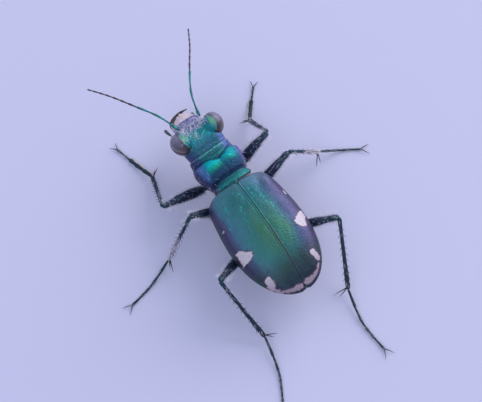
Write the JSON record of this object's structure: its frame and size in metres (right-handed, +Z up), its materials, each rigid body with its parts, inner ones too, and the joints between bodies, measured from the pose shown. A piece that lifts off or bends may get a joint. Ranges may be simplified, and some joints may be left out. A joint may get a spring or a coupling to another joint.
{
  "type": "tiger beetle",
  "caption": "Life-size still model of a green tiger beetle with pale-spotted wing cases, large eyes, curved jaws and long slim legs, standing on its feet.",
  "frame": {"origin": "middle of the box of the whole beetle, at the floor its feet stand on", "axes": "+Z up, head towards -Y, the beetle's left side at +X"},
  "size_m": [0.0165, 0.0216, 0.0039],
  "materials": {
    "shell": "satin iridescent cuticle, green along the seam to violet at the sides, with warm cream spots at the edges",
    "crown": "bright turquoise cuticle with fine wrinkles, violet at the sides",
    "under": "dark blue-green cuticle with thin white hair at the sides",
    "eye": "glossy grey-brown, finely faceted",
    "lip": "cream, half matte",
    "jaw": "glossy dark brown with pale outer base",
    "leg": "blackish metallic green with white hairs",
    "feeler": "dull dark brown, finely downy"
  },
  "bodies": {
    "root": {"abdomen": "under", "coxa_front_left": "leg", "coxa_front_right": "leg", "coxa_hind_left": "leg", "coxa_hind_right": "leg", "coxa_middle_left": "leg", "coxa_middle_right": "leg", "elytron_left": "shell", "elytron_right": "shell", "eye_left": "eye", "eye_right": "eye", "feeler_base_left": "leg", "feeler_base_right": "leg", "feeler_lash_left": "feeler", "feeler_lash_right": "feeler", "femur_front_left": "leg", "femur_front_right": "leg", "femur_hind_left": "leg", "femur_hind_right": "leg", "femur_middle_left": "leg", "femur_middle_right": "leg", "head": "crown", "labrum": "lip", "mandible_left": "jaw", "mandible_right": "jaw", "palp_left": "feeler", "palp_right": "feeler", "prothorax": "crown", "tarsus_front_left": "leg", "tarsus_front_right": "leg", "tarsus_hind_left": "leg", "tarsus_hind_right": "leg", "tarsus_middle_left": "leg", "tarsus_middle_right": "leg", "thorax": "under", "tibia_front_left": "leg", "tibia_front_right": "leg", "tibia_hind_left": "leg", "tibia_hind_right": "leg", "tibia_middle_left": "leg", "tibia_middle_right": "leg"}
  },
  "joints": []
}
